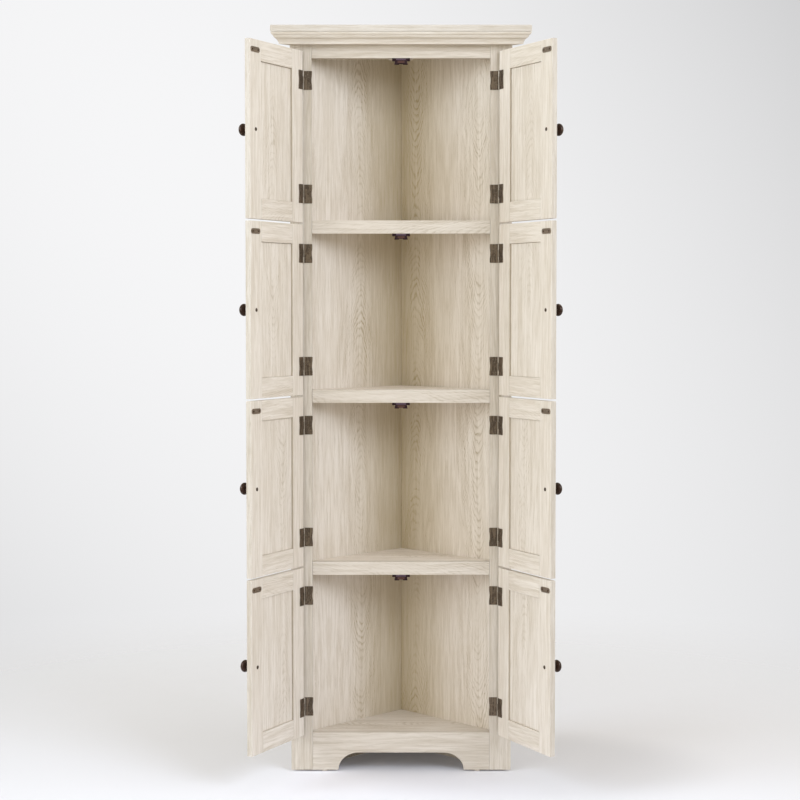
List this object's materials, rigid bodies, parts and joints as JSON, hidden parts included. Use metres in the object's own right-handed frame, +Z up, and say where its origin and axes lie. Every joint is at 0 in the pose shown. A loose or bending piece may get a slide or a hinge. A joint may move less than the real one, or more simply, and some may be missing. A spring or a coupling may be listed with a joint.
{
  "type": "corner cupboard",
  "caption": "Tall pale oak corner cupboard with a moulded crown, paired panelled doors in rows, corner shelves and an arched base.",
  "frame": {"origin": "on the floor, in the middle of the space that the cupboard takes up with its doors standing open at rest", "axes": "+X to the right along the front, +Y from the front towards the corner of the room, +Z up"},
  "size_m": [0.7598, 0.488, 1.829],
  "materials": {
    "case_oak": "whitewashed oak, matt lacquer",
    "back_oak": "whitewashed oak, matt lacquer",
    "shelf_oak": "whitewashed oak, matt lacquer",
    "door_oak": "whitewashed oak, matt lacquer",
    "hinge_bronze": "antique bronze, brushed",
    "knob_bronze": "dark oil-rubbed bronze",
    "catch_plastic": "dark brown moulded plastic"
  },
  "bodies": {
    "case": {"left_stile": "case_oak", "right_stile": "case_oak", "top_rail": "case_oak", "bottom_rail": "case_oak", "left_back_panel": "back_oak", "right_back_panel": "back_oak", "floor_panel": "shelf_oak", "top_board": "case_oak", "crown_moulding": "case_oak", "upper_shelf": "shelf_oak", "middle_shelf": "shelf_oak", "lower_shelf": "shelf_oak", "left_hinge_1_upper_frame_leaf": "hinge_bronze", "left_hinge_1_lower_frame_leaf": "hinge_bronze", "left_hinge_2_upper_frame_leaf": "hinge_bronze", "left_hinge_2_lower_frame_leaf": "hinge_bronze", "left_hinge_3_upper_frame_leaf": "hinge_bronze", "left_hinge_3_lower_frame_leaf": "hinge_bronze", "left_hinge_4_upper_frame_leaf": "hinge_bronze", "left_hinge_4_lower_frame_leaf": "hinge_bronze", "right_hinge_1_upper_frame_leaf": "hinge_bronze", "right_hinge_1_lower_frame_leaf": "hinge_bronze", "right_hinge_2_upper_frame_leaf": "hinge_bronze", "right_hinge_2_lower_frame_leaf": "hinge_bronze", "right_hinge_3_upper_frame_leaf": "hinge_bronze", "right_hinge_3_lower_frame_leaf": "hinge_bronze", "right_hinge_4_upper_frame_leaf": "hinge_bronze", "right_hinge_4_lower_frame_leaf": "hinge_bronze"},
    "left_door_1": {"left_door_1": "door_oak", "left_knob_1": "knob_bronze", "left_hinge_1_upper_door_leaf": "hinge_bronze", "left_hinge_1_lower_door_leaf": "hinge_bronze"},
    "left_door_2": {"left_door_2": "door_oak", "left_knob_2": "knob_bronze", "left_hinge_2_upper_door_leaf": "hinge_bronze", "left_hinge_2_lower_door_leaf": "hinge_bronze"},
    "left_door_3": {"left_door_3": "door_oak", "left_knob_3": "knob_bronze", "left_hinge_3_upper_door_leaf": "hinge_bronze", "left_hinge_3_lower_door_leaf": "hinge_bronze"},
    "left_door_4": {"left_door_4": "door_oak", "left_knob_4": "knob_bronze", "left_hinge_4_upper_door_leaf": "hinge_bronze", "left_hinge_4_lower_door_leaf": "hinge_bronze"},
    "right_door_1": {"right_door_1": "door_oak", "right_knob_1": "knob_bronze", "right_hinge_1_upper_door_leaf": "hinge_bronze", "right_hinge_1_lower_door_leaf": "hinge_bronze"},
    "right_door_2": {"right_door_2": "door_oak", "right_knob_2": "knob_bronze", "right_hinge_2_upper_door_leaf": "hinge_bronze", "right_hinge_2_lower_door_leaf": "hinge_bronze"},
    "right_door_3": {"right_door_3": "door_oak", "right_knob_3": "knob_bronze", "right_hinge_3_upper_door_leaf": "hinge_bronze", "right_hinge_3_lower_door_leaf": "hinge_bronze"},
    "right_door_4": {"right_door_4": "door_oak", "right_knob_4": "knob_bronze", "right_hinge_4_upper_door_leaf": "hinge_bronze", "right_hinge_4_lower_door_leaf": "hinge_bronze"}
  },
  "joints": [
    {"name": "left_door_1_hinge", "type": "hinge", "parent": "case", "child": "left_door_1", "pos_m": [-0.2398, -0.03253, 1.563], "axis": [0, 0, -1], "range_deg": [-118, 5]},
    {"name": "left_door_2_hinge", "type": "hinge", "parent": "case", "child": "left_door_2", "pos_m": [-0.2398, -0.03253, 1.142], "axis": [0, 0, -1], "range_deg": [-118, 5]},
    {"name": "left_door_3_hinge", "type": "hinge", "parent": "case", "child": "left_door_3", "pos_m": [-0.2398, -0.03253, 0.721], "axis": [0, 0, -1], "range_deg": [-118, 5]},
    {"name": "left_door_4_hinge", "type": "hinge", "parent": "case", "child": "left_door_4", "pos_m": [-0.2398, -0.03253, 0.3], "axis": [0, 0, -1], "range_deg": [-118, 5]},
    {"name": "right_door_1_hinge", "type": "hinge", "parent": "case", "child": "right_door_1", "pos_m": [0.2398, -0.03253, 1.563], "axis": [0, 0, 1], "range_deg": [-118, 5]},
    {"name": "right_door_2_hinge", "type": "hinge", "parent": "case", "child": "right_door_2", "pos_m": [0.2398, -0.03253, 1.142], "axis": [0, 0, 1], "range_deg": [-118, 5]},
    {"name": "right_door_3_hinge", "type": "hinge", "parent": "case", "child": "right_door_3", "pos_m": [0.2398, -0.03253, 0.721], "axis": [0, 0, 1], "range_deg": [-118, 5]},
    {"name": "right_door_4_hinge", "type": "hinge", "parent": "case", "child": "right_door_4", "pos_m": [0.2398, -0.03253, 0.3], "axis": [0, 0, 1], "range_deg": [-118, 5]}
  ]
}
